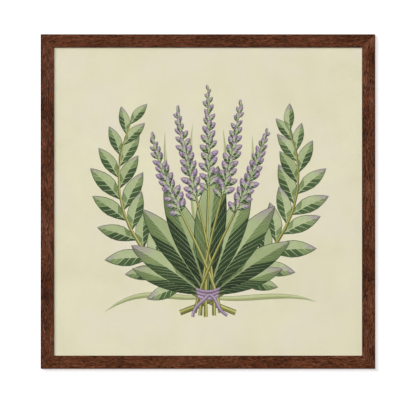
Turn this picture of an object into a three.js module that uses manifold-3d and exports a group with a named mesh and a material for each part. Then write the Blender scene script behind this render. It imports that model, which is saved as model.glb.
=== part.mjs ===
// A square framed art print for a wall: four mitred wooden rails that hold a sheet of picture glass,
// the printed sheet and a backing board, with the steel points that keep them in, the corner nails,
// a sawtooth hanger and two soft bumpers.
//
// Millimetres, +Z up. The picture faces -Y and the wall is the plane Y = 0. The origin lies on the
// wall, straight behind the middle notch of the hanger, where the hanging nail carries the picture.

import * as THREE from "three";
import { mergeVertices } from "three/addons/utils/BufferGeometryUtils.js";
import Module from "manifold-3d";

const wasm = await Module();
wasm.setup();

// ---- driving dimensions ----
const PRINT_SIDE = 457.2; // an 18 in square sheet
const RAIL_WIDTH = 19.05; // face of the moulding, 3/4 in
const RAIL_DEPTH = 25.4; // front to back, 1 in
const LIP_COVER = 6.35; // how much of the sheet's edge the front lip covers, 1/4 in
const LIP_DEPTH = 4; // the lip, front to back
const GLAZING_THICKNESS = 2;
const PRINT_THICKNESS = 0.4;
const BOARD_THICKNESS = 3;
const BUMPER_HEIGHT = 3.2; // how far the bumpers hold the rails off the wall

// ---- clearances ----
const SHEET_PLAY = 0.8; // around the sheets' edges, on average
const FACE_GAP = 0.3; // between faces that press together, also under the sheets' bottom edge
const INK_GAP = 0.5; // between the glazing and the printed face
const MITRE_GAP = 0.15; // half the glue line, measured along the rail
const SLOT_PLAY = 0.3; // round metal driven into the wood

// ---- frame ----
const FRAME_SIDE = PRINT_SIDE + 2 * (RAIL_WIDTH - LIP_COVER);
const HALF_SIDE = FRAME_SIDE / 2;
const RABBET_WALL = RAIL_WIDTH - LIP_COVER - SHEET_PLAY; // width of wood behind the lip
const BACK_Y = -BUMPER_HEIGHT;
const FRONT_Y = BACK_Y - RAIL_DEPTH;
const FRONT_EASE = 1.2; // radius of the outer front edge
const SIGHT_EASE = 0.8; // radius of the edge beside the picture
const BACK_EASE = 0.6;
const EASE_STEPS = 4;

// ---- what the rabbet holds, from the front to the back ----
const GLAZING_Y = FRONT_Y + LIP_DEPTH + FACE_GAP;
const PRINT_Y = GLAZING_Y + GLAZING_THICKNESS + INK_GAP;
const BOARD_Y = PRINT_Y + PRINT_THICKNESS + FACE_GAP;
const POINT_Y = BOARD_Y + BOARD_THICKNESS + FACE_GAP;

// ---- retaining points: flat steel tabs driven into the rabbet's wall ----
const POINTS_A_RAIL = 3;
const POINT_PITCH = 150;
const POINT_WIDTH = 8;
const POINT_THICKNESS = 0.6;
const POINT_DRIVEN = 6; // length in the wood
const POINT_SHOWN = 11; // length over the board
const POINT_TAPER = 3; // length of the driven tip
const POINT_HOLE_RADIUS = 1.4;

// ---- corner nails: V-shaped strips driven across each mitre from the back ----
const NAIL_INSETS = { outer: 3.2, inner: 7.6 }; // from both outer faces to the bend
const NAIL_LEG = 5.5;
const NAIL_THICKNESS = 0.7;
const NAIL_HEIGHT = 10;
const NAIL_SINK = 0.25; // below the wood's back face

// ---- sawtooth hanger ----
const HANGER_LENGTH = 48;
const HANGER_HEIGHT = 9;
const HANGER_THICKNESS = 0.8;
const HANGER_FOOT = 7.5; // length of each end that lies on the wood
const HANGER_RAMP = 3; // length of the step up from the foot
const HANGER_RISE = 1.5; // how far the middle stands off the foot
const HANGER_LIFT = 0.1; // under the feet
const HANGER_CORNER = 2;
const TOOTH_COUNT = 13;
const TOOTH_PITCH = 2;
const NOTCH_WIDTH = 1.7;
const NOTCH_DEPTH = 1.6;
const BRAD_HEAD_RADIUS = 2.1;
const BRAD_HEAD_THICKNESS = 0.8;
const BRAD_SHANK_RADIUS = 0.65;
const BRAD_LENGTH = 9;
const BRAD_TIP = 1.6;
const BRAD_INSET = 3.6; // from the hanger's end
const BRAD_HOLE_RADIUS = 0.95;

// ---- bumpers: soft discs near the bottom corners ----
const BUMPER_RADIUS = 5.4;
const BUMPER_FACE_RADIUS = 4.1;
const BUMPER_LIP = 0.8; // height of its straight edge
const BUMPER_EASE = 0.45;
const BUMPER_INSET = 22; // from the rail's end
const GLUE_GAP = 0.1;

const ROUND_SEGMENTS = 20;
const DOME_STEPS = 4;
const THROUGH = 1; // how far a cutter runs past the face it opens
const QUARTER_TURN = Math.PI / 2;

// The hanger's strip is centred on the wood above the rabbet, which fixes how far the rail's top edge
// stands above the notch that rests on the nail.
const HANGER_MARGIN = (RABBET_WALL - HANGER_HEIGHT) / 2;
const FRAME_TOP = HANGER_MARGIN + HANGER_HEIGHT - NOTCH_DEPTH;

// ---- finishes ----
const finish = (color, roughness, metalness = 0, extra = {}) =>
  new THREE.MeshStandardMaterial({ color, roughness, metalness, ...extra });
const WALNUT = finish(0x5c3424, 0.5);
const PICTURE_GLASS = finish(0xffffff, 0.05, 0, { transparent: true, opacity: 0.12 });
const PRINTED_PAPER = finish(0xe0dbbe, 0.85);
const HARDBOARD = finish(0x6b4a30, 0.75);
const ZINC_STEEL = finish(0xb4b6b8, 0.38, 1);
const BRASSED_STEEL = finish(0xb08d4a, 0.35, 1);
const GREY_RUBBER = finish(0x8d8f90, 0.6);

// ---- solids ----
function solidOf(geometry) {
  const bare = geometry.clone();
  bare.deleteAttribute("normal");
  bare.deleteAttribute("uv");
  const merged = mergeVertices(bare, 1e-4);
  return new wasm.Manifold(
    new wasm.Mesh({
      numProp: 3,
      vertProperties: merged.attributes.position.array,
      triVerts: new Uint32Array(merged.index.array),
    }),
  );
}

function geometryOf(solid) {
  const { vertProperties, triVerts } = solid.getMesh();
  const geometry = new THREE.BufferGeometry();
  geometry.setAttribute("position", new THREE.BufferAttribute(vertProperties, 3));
  geometry.setIndex(new THREE.BufferAttribute(triVerts, 1));
  geometry.computeVertexNormals();
  return geometry;
}

const cut = (geometry, cutters) =>
  geometryOf(cutters.reduce((left, cutter) => left.subtract(solidOf(cutter)), solidOf(geometry)));

// A shape drawn in X and Z, as seen by a viewer who looks along +Y, made solid from nearY to farY.
function plate(shape, nearY, farY) {
  const geometry = new THREE.ExtrudeGeometry(shape, {
    depth: farY - nearY,
    bevelEnabled: false,
    curveSegments: EASE_STEPS,
  });
  return geometry.rotateX(QUARTER_TURN).translate(0, farY, 0);
}

function outline(points) {
  return new THREE.Shape(points.map(([x, z]) => new THREE.Vector2(x, z)));
}

function roundedRectangle(width, height, radius) {
  const x = width / 2 - radius;
  const z = height / 2 - radius;
  const shape = new THREE.Shape();
  shape.absarc(x, z, radius, 0, QUARTER_TURN);
  shape.absarc(-x, z, radius, QUARTER_TURN, 2 * QUARTER_TURN);
  shape.absarc(-x, -z, radius, 2 * QUARTER_TURN, 3 * QUARTER_TURN);
  shape.absarc(x, -z, radius, 3 * QUARTER_TURN, 4 * QUARTER_TURN);
  return shape;
}

// A peg along Y, centred on x and z.
function peg(radius, nearY, farY, x, z) {
  const geometry = new THREE.CylinderGeometry(radius, radius, farY - nearY, ROUND_SEGMENTS);
  return geometry.translate(x, (nearY + farY) / 2, z);
}

function mesh(name, geometry, material) {
  const made = new THREE.Mesh(geometry, material);
  made.name = name;
  return made;
}

// ---- rails ----
// The section in u, inwards from the outer face, and y. The rabbet is open to the back.
function railSection() {
  const section = new THREE.Shape();
  section.moveTo(0, BACK_Y - BACK_EASE);
  section.lineTo(0, FRONT_Y + FRONT_EASE);
  section.absarc(FRONT_EASE, FRONT_Y + FRONT_EASE, FRONT_EASE, 2 * QUARTER_TURN, 3 * QUARTER_TURN);
  const sight = RAIL_WIDTH - SIGHT_EASE;
  section.absarc(sight, FRONT_Y + SIGHT_EASE, SIGHT_EASE, 3 * QUARTER_TURN, 4 * QUARTER_TURN);
  section.lineTo(RAIL_WIDTH, FRONT_Y + LIP_DEPTH);
  section.lineTo(RABBET_WALL, FRONT_Y + LIP_DEPTH);
  section.lineTo(RABBET_WALL, BACK_Y);
  section.lineTo(BACK_EASE, BACK_Y);
  section.absarc(BACK_EASE, BACK_Y - BACK_EASE, BACK_EASE, QUARTER_TURN, 2 * QUARTER_TURN);
  return section;
}

// The top rail, about the frame's centre. Its ends are mitred: the further in, the shorter it is.
function plainRail() {
  const geometry = new THREE.ExtrudeGeometry(railSection(), {
    depth: 1,
    bevelEnabled: false,
    curveSegments: EASE_STEPS,
  });
  const at = geometry.attributes.position;
  for (let i = 0; i < at.count; i++) {
    const inwards = at.getX(i);
    const halfLength = HALF_SIDE - inwards - MITRE_GAP;
    at.setXYZ(i, (2 * at.getZ(i) - 1) * halfLength, at.getY(i), HALF_SIDE - inwards);
  }
  return geometry;
}

const pointPlaces = Array.from(
  { length: POINTS_A_RAIL },
  (_, i) => (i - (POINTS_A_RAIL - 1) / 2) * POINT_PITCH,
);

// A tab of the top rail: pointed where it is driven into the wood, rounded and pierced over the board.
function pointOutline(x) {
  const half = POINT_WIDTH / 2;
  const wall = HALF_SIDE - RABBET_WALL;
  const tip = wall + POINT_DRIVEN;
  const end = wall - POINT_SHOWN;
  const shape = new THREE.Shape();
  shape.moveTo(x + half, tip - POINT_TAPER);
  shape.lineTo(x, tip);
  shape.lineTo(x - half, tip - POINT_TAPER);
  shape.absarc(x, end + half, half, 2 * QUARTER_TURN, 4 * QUARTER_TURN);
  const hole = new THREE.Path();
  hole.absarc(x, end + half, POINT_HOLE_RADIUS, 0, 4 * QUARTER_TURN, true);
  shape.holes.push(hole);
  return shape;
}

function pointSlot(x) {
  const half = POINT_WIDTH / 2 + SLOT_PLAY;
  const wall = HALF_SIDE - RABBET_WALL;
  const tip = wall + POINT_DRIVEN + SLOT_PLAY;
  const shape = outline([
    [x - half, wall - THROUGH],
    [x + half, wall - THROUGH],
    [x + half, tip],
    [x - half, tip],
  ]);
  return plate(shape, POINT_Y - SLOT_PLAY, POINT_Y + POINT_THICKNESS + SLOT_PLAY);
}

// A corner nail at the top left corner: its bend lies on the mitre and its legs run along the rails.
function nailOutline(inset, play = 0) {
  const out = inset - NAIL_THICKNESS / 2 - play;
  const inn = inset + NAIL_THICKNESS / 2 + play;
  const end = inset + NAIL_LEG + play;
  const corner = (a, b) => [a - HALF_SIDE, HALF_SIDE - b];
  return outline([
    corner(out, out),
    corner(out, end),
    corner(inn, end),
    corner(inn, inn),
    corner(end, inn),
    corner(end, out),
  ]);
}

function nailBody(inset) {
  return plate(nailOutline(inset), BACK_Y - NAIL_SINK - NAIL_HEIGHT, BACK_Y - NAIL_SINK);
}

// Both of a rail's ends are slotted for the nails: the slots at the other end are the same ones, turned.
function nailSlots() {
  return Object.values(NAIL_INSETS).flatMap((inset) => {
    const slot = plate(
      nailOutline(inset, SLOT_PLAY),
      BACK_Y - NAIL_SINK - NAIL_HEIGHT - SLOT_PLAY,
      BACK_Y + THROUGH,
    );
    return [slot, slot.clone().rotateY(QUARTER_TURN)];
  });
}

const bradPlaces = [-1, 1].map((side) => side * (HANGER_LENGTH / 2 - BRAD_INSET));
const hangerCentreZ = HALF_SIDE - RABBET_WALL / 2;

const bradHoles = (nearY, farY) =>
  bradPlaces.map((x) => peg(BRAD_HOLE_RADIUS, nearY, farY, x, hangerCentreZ));

const slottedRail = cut(plainRail(), [...nailSlots(), ...pointPlaces.map(pointSlot)]);
const drilledRail = cut(slottedRail, bradHoles(BACK_Y - BRAD_LENGTH, BACK_Y + THROUGH));

// Quarter turns about Y that carry the top rail, clockwise as the picture is seen, to each side.
const SIDES = [
  ["top", 0],
  ["right", 1],
  ["bottom", 2],
  ["left", 3],
];

function rail(side, turns) {
  const made = mesh(`rail_${side}`, side === "top" ? drilledRail : slottedRail, WALNUT);
  made.rotation.y = turns * QUARTER_TURN;
  return made;
}

function retainingPoints(side, turns) {
  return pointPlaces.map((x, i) => {
    const body = plate(pointOutline(x), POINT_Y, POINT_Y + POINT_THICKNESS);
    const made = mesh(`retaining_point_${side}_${i + 1}`, body, ZINC_STEEL);
    made.rotation.y = turns * QUARTER_TURN;
    return made;
  });
}

// The corner that each quarter turn carries the top left corner to.
const CORNERS = ["top_left", "top_right", "bottom_right", "bottom_left"];

function cornerNails(corner, turns) {
  return Object.entries(NAIL_INSETS).map(([row, inset]) => {
    const made = mesh(`corner_nail_${corner}_${row}`, nailBody(inset), ZINC_STEEL);
    made.rotation.y = turns * QUARTER_TURN;
    return made;
  });
}

// ---- the sheets in the rabbet, which stand on the bottom rail ----
function sheet(name, nearY, thickness, material) {
  const geometry = new THREE.BoxGeometry(PRINT_SIDE, thickness, PRINT_SIDE);
  geometry.translate(0, nearY + thickness / 2, FACE_GAP - SHEET_PLAY);
  return mesh(name, geometry, material);
}

// ---- hanging hardware ----
// The strip's section in X and Y: feet on the wood and a middle that stands off it.
function hangerSection() {
  const end = HANGER_LENGTH / 2;
  const foot = end - HANGER_FOOT;
  const middle = foot - HANGER_RAMP;
  const low = BACK_Y + HANGER_LIFT;
  const high = low + HANGER_RISE;
  const t = HANGER_THICKNESS;
  return outline([
    [-end, low],
    [-foot, low],
    [-middle, high],
    [middle, high],
    [foot, low],
    [end, low],
    [end, low + t],
    [foot, low + t],
    [middle, high + t],
    [-middle, high + t],
    [-foot, low + t],
    [-end, low + t],
  ]);
}

function notch(x, bottomZ) {
  const half = NOTCH_WIDTH / 2;
  const shape = outline([
    [x - half, bottomZ],
    [x - half, bottomZ - THROUGH],
    [x + half, bottomZ - THROUGH],
    [x + half, bottomZ],
    [x, bottomZ + NOTCH_DEPTH],
  ]);
  return plate(shape, BACK_Y, 0);
}

function hanger() {
  const strip = new THREE.ExtrudeGeometry(hangerSection(), {
    depth: HANGER_HEIGHT,
    bevelEnabled: false,
  });
  strip.translate(0, 0, hangerCentreZ - HANGER_HEIGHT / 2);
  const blank = plate(roundedRectangle(HANGER_LENGTH, HANGER_HEIGHT, HANGER_CORNER), BACK_Y, 0);
  blank.translate(0, 0, hangerCentreZ);
  const trimmed = geometryOf(solidOf(strip).intersect(solidOf(blank)));
  const bottomZ = hangerCentreZ - HANGER_HEIGHT / 2;
  const notches = Array.from({ length: TOOTH_COUNT }, (_, i) =>
    notch((i - (TOOTH_COUNT - 1) / 2) * TOOTH_PITCH, bottomZ),
  );
  return mesh("hanger", cut(trimmed, [...notches, ...bradHoles(BACK_Y, 0)]), BRASSED_STEEL);
}

// A solid turned about Y from its profile of radii and heights.
function turned(profile) {
  const points = profile.map(([radius, y]) => new THREE.Vector2(radius, y));
  return new THREE.LatheGeometry(points, ROUND_SEGMENTS);
}

// A quarter of an ellipse, from the rim to the crown.
function domeProfile(radius, height) {
  return Array.from({ length: DOME_STEPS + 1 }, (_, i) => {
    const angle = (i / DOME_STEPS) * QUARTER_TURN;
    return i < DOME_STEPS ? [radius * Math.cos(angle), height * Math.sin(angle)] : [0, height];
  });
}

// A brad about its own axis: its point is at y = -BRAD_LENGTH and its head's seat at y = 0.
function brad(name, x) {
  const profile = [
    [0, -BRAD_LENGTH],
    [BRAD_SHANK_RADIUS, BRAD_TIP - BRAD_LENGTH],
    [BRAD_SHANK_RADIUS, 0],
    ...domeProfile(BRAD_HEAD_RADIUS, BRAD_HEAD_THICKNESS),
  ];
  const made = mesh(name, turned(profile), BRASSED_STEEL);
  made.position.set(x, BACK_Y + HANGER_LIFT + HANGER_THICKNESS + GLUE_GAP, hangerCentreZ);
  return made;
}

function bumper(name, side) {
  const profile = [
    [0, BACK_Y + GLUE_GAP],
    [BUMPER_RADIUS, BACK_Y + GLUE_GAP],
    [BUMPER_RADIUS, BACK_Y + BUMPER_LIP],
    [BUMPER_FACE_RADIUS + BUMPER_EASE, -BUMPER_EASE],
    [BUMPER_FACE_RADIUS, 0],
    [0, 0],
  ];
  const made = mesh(name, turned(profile), GREY_RUBBER);
  made.position.set(side * (HALF_SIDE - BUMPER_INSET), 0, RABBET_WALL / 2 - HALF_SIDE);
  return made;
}

// ---- the whole picture, about its centre and then hung from the origin ----
const picture = new THREE.Group();
picture.position.z = FRAME_TOP - HALF_SIDE;
for (const [side, turns] of SIDES) picture.add(rail(side, turns), ...retainingPoints(side, turns));
CORNERS.forEach((corner, turns) => picture.add(...cornerNails(corner, turns)));
picture.add(
  sheet("glazing", GLAZING_Y, GLAZING_THICKNESS, PICTURE_GLASS),
  sheet("print", PRINT_Y, PRINT_THICKNESS, PRINTED_PAPER),
  sheet("backing_board", BOARD_Y, BOARD_THICKNESS, HARDBOARD),
  hanger(),
  brad("hanger_brad_left", bradPlaces[0]),
  brad("hanger_brad_right", bradPlaces[1]),
  bumper("bumper_left", -1),
  bumper("bumper_right", 1),
);

export default new THREE.Group().add(picture);
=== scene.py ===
"""A square framed art print: walnut rails, picture glass, a printed botanical design, and the back's
hardware, seen on a pale wall in soft studio light. Metres; the picture faces -Y."""

import math

import bmesh
import bpy
from mathutils import Matrix, Vector


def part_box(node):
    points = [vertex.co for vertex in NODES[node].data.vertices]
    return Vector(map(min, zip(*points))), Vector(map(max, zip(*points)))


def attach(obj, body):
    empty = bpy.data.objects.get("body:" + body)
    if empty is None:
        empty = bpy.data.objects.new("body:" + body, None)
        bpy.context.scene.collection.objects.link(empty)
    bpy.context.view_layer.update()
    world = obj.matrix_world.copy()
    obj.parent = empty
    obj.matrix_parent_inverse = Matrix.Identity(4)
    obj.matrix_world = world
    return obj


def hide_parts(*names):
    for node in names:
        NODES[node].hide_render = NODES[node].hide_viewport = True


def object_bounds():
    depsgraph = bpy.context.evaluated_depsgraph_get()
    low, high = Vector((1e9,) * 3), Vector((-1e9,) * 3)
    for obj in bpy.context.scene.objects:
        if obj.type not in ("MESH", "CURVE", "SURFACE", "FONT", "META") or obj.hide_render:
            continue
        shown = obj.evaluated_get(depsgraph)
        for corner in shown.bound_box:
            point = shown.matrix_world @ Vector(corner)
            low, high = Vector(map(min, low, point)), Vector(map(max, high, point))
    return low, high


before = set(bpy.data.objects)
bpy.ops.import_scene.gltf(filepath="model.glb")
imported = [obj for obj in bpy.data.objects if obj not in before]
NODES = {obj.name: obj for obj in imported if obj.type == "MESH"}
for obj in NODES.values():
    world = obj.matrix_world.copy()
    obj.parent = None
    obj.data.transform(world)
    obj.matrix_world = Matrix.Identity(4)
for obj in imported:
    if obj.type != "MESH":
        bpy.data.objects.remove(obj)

cad_low, cad_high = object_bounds()

MM = 0.001
QUARTER_TURN = math.pi / 2
WHITE = (1.0, 1.0, 1.0, 1.0)
SIDES = ("top", "right", "bottom", "left")

# ---- places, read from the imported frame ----
CENTRE = (cad_low + cad_high) / 2
HALF_SIDE = (cad_high.x - cad_low.x) / 2
RAIL_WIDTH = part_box("rail_top")[1].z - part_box("rail_top")[0].z
SIGHT_HALF = HALF_SIDE - RAIL_WIDTH
FRONT_Y = cad_low.y
BACK_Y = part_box("rail_top")[1].y
PAPER_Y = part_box("print")[0].y
SHEET_CENTRE = (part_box("print")[0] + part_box("print")[1]) / 2

# ---- mesh work ----
MERGE = 0.002 * MM  # points nearer than this are one point
INK_MERGE = 0.001 * MM
BLANK_MERGE = 1e-6  # on blanks, which are one unit long
SHARP = math.radians(40)


# ================================================================ node helpers
class Value:
    """A node's output. Sums with it are written as plain arithmetic, and each adds a Math node."""

    def __init__(self, socket):
        self.socket = socket
        self.tree = socket.id_data

    def __add__(self, other):
        return maths("ADD", self, other)

    def __radd__(self, other):
        return maths("ADD", other, self)

    def __sub__(self, other):
        return maths("SUBTRACT", self, other)

    def __rsub__(self, other):
        return maths("SUBTRACT", other, self)

    def __mul__(self, other):
        return maths("MULTIPLY", self, other)

    def __truediv__(self, other):
        return maths("DIVIDE", self, other)

    def __rtruediv__(self, other):
        return maths("DIVIDE", other, self)

    def __mod__(self, other):
        return maths("MODULO", self, other)


class Outputs:
    """A node's outputs as Values, by name or by number."""

    def __init__(self, node):
        self.node = node

    def __getitem__(self, key):
        return Value(self.node.outputs[key])


def plug(node, values):
    """Sets a node's inputs: a Value is linked, and anything else becomes the input's own value."""
    for key, value in values.items():
        if isinstance(value, Value):
            node.id_data.links.new(value.socket, node.inputs[key])
        else:
            node.inputs[key].default_value = value


def add(tree, kind, values=None, **settings):
    """A new node's outputs."""
    made = tree.nodes.new(kind)
    for name, value in settings.items():
        setattr(made, name, value)
    plug(made, values or {})
    return Outputs(made)


def tree_of(values):
    return next(value.tree for value in values if isinstance(value, Value))


def maths(operation, *values):
    return add(tree_of(values), "ShaderNodeMath", dict(enumerate(values)), operation=operation)[0]


def clamped(total):
    """A sum's Value, kept between 0 and 1."""
    total.socket.node.use_clamp = True
    return total


def vector_maths(operation, *values):
    made = add(tree_of(values), "ShaderNodeVectorMath", dict(enumerate(values)), operation=operation)
    return made[0]


def scaled(vector, amount):
    values = {0: vector, "Scale": amount}
    return add(vector.tree, "ShaderNodeVectorMath", values, operation="SCALE")[0]


def separated(vector):
    return add(vector.tree, "ShaderNodeSeparateXYZ", {0: vector})


def combined(x=0.0, y=0.0, z=0.0):
    return add(tree_of((x, y, z)), "ShaderNodeCombineXYZ", {0: x, 1: y, 2: z})[0]


def spread_over(value, low, high, to_low=0.0, to_high=1.0):
    """Maps a value from one range to another, clamped."""
    values = {"Value": value, "From Min": low, "From Max": high, "To Min": to_low, "To Max": to_high}
    return add(value.tree, "ShaderNodeMapRange", values)[0]


def mixed(share, first, second):
    return add(share.tree, "ShaderNodeMix", {0: share, 6: first, 7: second}, data_type="RGBA")[2]


def noise(vector, scale, detail=3.0, roughness=0.5, distortion=0.0):
    values = {
        "Vector": vector, "Scale": scale, "Detail": detail, "Roughness": roughness, "Distortion": distortion,
    }
    return add(vector.tree, "ShaderNodeTexNoise", values)[0]


def drawn_out(vector, length, width):
    """The vector over a length along X and a width across it, both in millimetres, so that a texture
    of scale 1 has marks of that size."""
    return vector_maths("DIVIDE", vector, (length * MM, width * MM, width * MM))


def ramp(value, places, colors):
    """Colours as on a screen, which change over from one to the next at the given places."""
    made = add(value.tree, "ShaderNodeValToRGB", {"Fac": value})
    elements = made.node.color_ramp.elements
    while len(elements) < len(places):
        elements.new(0.5)
    for element, place, color in zip(elements, places, colors):
        element.position = place
        element.color = srgb(*color)
    return made[0]


def srgb(red, green, blue):
    """A colour given as on a screen, 0 to 255, in linear light."""
    return tuple(linear(channel / 255) for channel in (red, green, blue)) + (1.0,)


def linear(channel):
    return channel / 12.92 if channel <= 0.04045 else ((channel + 0.055) / 1.055) ** 2.4


def new_group(kind, name, inputs, outputs):
    """An empty node group: its tree, its inputs, and its output node. Each socket is given as its kind,
    or as a whole or decimal number, which is its default."""
    tree = bpy.data.node_groups.new(name, kind)
    for direction, sockets in (("INPUT", inputs), ("OUTPUT", outputs)):
        for socket_name, given in sockets.items():
            plain = not isinstance(given, str)
            word = type(given).__name__.capitalize() if plain else given
            made = tree.interface.new_socket(
                socket_name, in_out=direction, socket_type="NodeSocket" + word
            )
            if plain:
                made.default_value = given
    return tree, Outputs(tree.nodes.new("NodeGroupInput")), tree.nodes.new("NodeGroupOutput")


def put(group, values):
    """The outputs of a shader node group."""
    return add(tree_of(values.values()), "ShaderNodeGroup", values, node_tree=group)


def material(name, **plain):
    """A new material, and its Principled shader with plain values set."""
    made = bpy.data.materials.new(name)
    made.use_nodes = True
    shader = made.node_tree.nodes["Principled BSDF"]
    plug(shader, {key.replace("_", " "): value for key, value in plain.items()})
    return made, shader


def place_on(shader):
    """Where on the object the shaded point lies."""
    return add(shader.id_data, "ShaderNodeTexCoord")["Object"]


def bump(shader, height, strength, distance):
    values = {"Height": height, "Strength": strength, "Distance": distance}
    plug(shader, {"Normal": add(height.tree, "ShaderNodeBump", values)[0]})


# ================================================================ shared effects
# The wood's tone adds up its figure and fine lines, and picks a brown between the dark and light ends.
FIGURE_WEIGHT = 1.05
LINE_WEIGHT = 0.5
TONE_DROP = 0.286
TONES = (0.34, 0.45, 0.55, 0.68)
TAN = ((46, 18, 3), (77, 39, 14), (100, 53, 26), (129, 78, 50))
PURPLE = ((41, 18, 7), (70, 38, 22), (92, 55, 38), (122, 82, 65))
RUST = (112, 50, 24)
LINE_BROWN = (36, 15, 8)
PORE_BROWN = (28, 12, 7)
FLECK_BROWN = (26, 10, 4)
# the darker brown that the front face turns to near its edges
EDGE_DARK_BROWN = (44, 15, 4)
SWAY_REACH = 2.5 * MM  # how far the grain strays from a straight line
SIGHT_DARKENING = 0.4  # how dark the band is at the sight edge, where 1 is the outer edge
EDGE_BAND = 1.5 * MM  # how far in from an edge the darker band reaches
EDGE_WAVER = 0.5 * MM  # how much further it reaches in places


def walnut_grain_group():
    """Stained walnut whose grain runs along the vector's X."""
    tree, given, out = new_group(
        "ShaderNodeTree",
        "walnut_grain",
        {"Vector": "Vector", "Edge": 0.0, "Purple": 0.5, "Patches": 0.5},
        {"Color": "Color", "Roughness": "Float", "Height": "Float"},
    )
    straight = given["Vector"]
    sway = noise(drawn_out(straight, 60, 12), 1.0, 2.0)
    swayed = vector_maths("ADD", straight, scaled(combined(y=sway, z=sway), SWAY_REACH))
    figure = noise(drawn_out(swayed, 5, 0.75), 1.0, 5.0)
    fine_lines = noise(drawn_out(swayed, 24, 0.8), 1.0, 3.0, 0.7)
    pores = noise(drawn_out(swayed, 5, 0.32), 1.0, 2.0, 0.6)
    patches = noise(drawn_out(straight, 50, 24), 1.0, 3.0, 0.55)
    warmth = noise(drawn_out(straight, 13, 1.5), 1.0, 2.0)
    rust = noise(drawn_out(straight, 9, 1.5), 1.0, 2.0)
    cells = add(tree, "ShaderNodeTexVoronoi", {"Vector": drawn_out(swayed, 13, 4.2), "Scale": 1.0})
    fleck = spread_over(cells["Distance"], 0.12, 0.22, 1.0, 0.0)

    broad = (patches - 0.5) * given["Patches"]
    tone = figure * FIGURE_WEIGHT + fine_lines * LINE_WEIGHT - TONE_DROP + broad
    coolness = spread_over(warmth - 0.5 + (given["Purple"] - 0.5), -0.07, 0.07)
    wood = mixed(coolness, ramp(tone, TONES, TAN), ramp(tone, TONES, PURPLE))
    redder = mixed(spread_over(rust, 0.55, 0.66) * 0.45, wood, srgb(*RUST))
    lined = mixed(spread_over(fine_lines, 0.3, 0.46, 0.55, 0.0), redder, srgb(*LINE_BROWN))
    pored = mixed(spread_over(pores, 0.28, 0.42, 0.55, 0.0), lined, srgb(*PORE_BROWN))
    flecked = mixed(fleck * 0.75, pored, srgb(*FLECK_BROWN))
    # the front face turns darker brown towards its outer edge, and less so towards its sight edge
    edged = mixed(given["Edge"] * 0.92, flecked, srgb(*EDGE_DARK_BROWN))
    relief = spread_over(pores, 0.25, 0.45) * 0.6 + fine_lines * 0.5
    roughness = spread_over(tone, 0.3, 0.7, 0.62, 0.48)
    plug(out, {"Color": edged, "Roughness": roughness, "Height": relief - fleck})
    return tree


def rail_edge_group():
    """How near a point is to the face's outer edge, where the front face is coloured darkest, or to its sight
    edge.
    """
    tree, given, out = new_group(
        "ShaderNodeTree",
        "rail_edge",
        {"Vector": "Vector", "Outer": 0.24, "Sight": 0.22, "Front": -0.012, "Band": 0.001},
        {"Edge": "Float"},
    )
    parts = separated(given["Vector"])
    reach = maths("MAXIMUM", maths("ABSOLUTE", parts[0]), maths("ABSOLUTE", parts[2]))
    wide = given["Band"] + noise(given["Vector"], 90.0, 2.0) * EDGE_WAVER
    outer = clamped(1.0 - (given["Outer"] - reach) / wide)
    sight = clamped(1.0 - (reach - given["Sight"]) / wide) * SIGHT_DARKENING
    at_front = clamped(2.0 - (parts[1] - given["Front"]) / wide)
    plug(out, {"Edge": maths("MAXIMUM", outer, sight) * at_front})
    return tree


def wash_group():
    """The uneven lay of thin paint on paper: pools and fine speckle."""
    tree, given, out = new_group(
        "ShaderNodeTree",
        "paint_wash",
        {"Vector": "Vector", "Pool Size": 0.02},
        {"Pools": "Float", "Speckle": "Float"},
    )
    pools = noise(scaled(given["Vector"], 1.0 / given["Pool Size"]), 1.0, 5.0, 0.62, 0.4)
    plug(out, {"Pools": pools, "Speckle": noise(given["Vector"], 1400.0, 2.0, 0.7)})
    return tree


def plating_group():
    """Thin bright plating: rolled streaks and small dull spots."""
    tree, given, out = new_group(
        "ShaderNodeTree",
        "plating",
        {"Vector": "Vector", "Spot Size": 0.002},
        {"Streak": "Float", "Spot": "Float"},
    )
    rolled = vector_maths("DIVIDE", given["Vector"], (6 * MM, 6 * MM, 0.25 * MM))
    spots = noise(scaled(given["Vector"], 1.0 / given["Spot Size"]), 1.0, 4.0, 0.6)
    plug(out, {"Streak": noise(rolled, 1.0, 3.0, 0.6), "Spot": spread_over(spots, 0.55, 0.68)})
    return tree


WALNUT_GRAIN = walnut_grain_group()
RAIL_EDGE = rail_edge_group()
WASH = wash_group()
PLATING = plating_group()


# ================================================================ finishes
SCREEN_WAVE = 2 * math.pi / (1.8 * MM)  # of the wire screen's print in the hardboard
HATCH_LINES = 9.0  # on half a leaf
HATCH_GREEN = (188, 205, 160)
INK_TONES = (0.28, 0.5, 0.72)


def walnut(name, turn, shift, purple, patches):
    """turn lays the grain along the rail, shift gives each rail its own stretch of wood, purple sets
    how much of it is of the cooler brown, and patches how strong its broad light and dark parts are."""
    made, shader = material(name, Specular_IOR_Level=0.06)
    about_centre = vector_maths("SUBTRACT", place_on(shader), tuple(CENTRE))
    values = {"Vector": about_centre, "Rotation": (0, turn, 0), "Location": (shift, 0, 0)}
    along = add(about_centre.tree, "ShaderNodeMapping", values)[0]
    edge = put(RAIL_EDGE, {
        "Vector": about_centre, "Outer": HALF_SIDE, "Sight": SIGHT_HALF,
        "Front": FRONT_Y - CENTRE.y, "Band": EDGE_BAND,
    })["Edge"]
    grain = put(WALNUT_GRAIN, {"Vector": along, "Edge": edge, "Purple": purple, "Patches": patches})
    plug(shader, {"Base Color": grain["Color"], "Roughness": grain["Roughness"]})
    bump(shader, grain["Height"], 0.35, 0.1 * MM)
    return made


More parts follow.
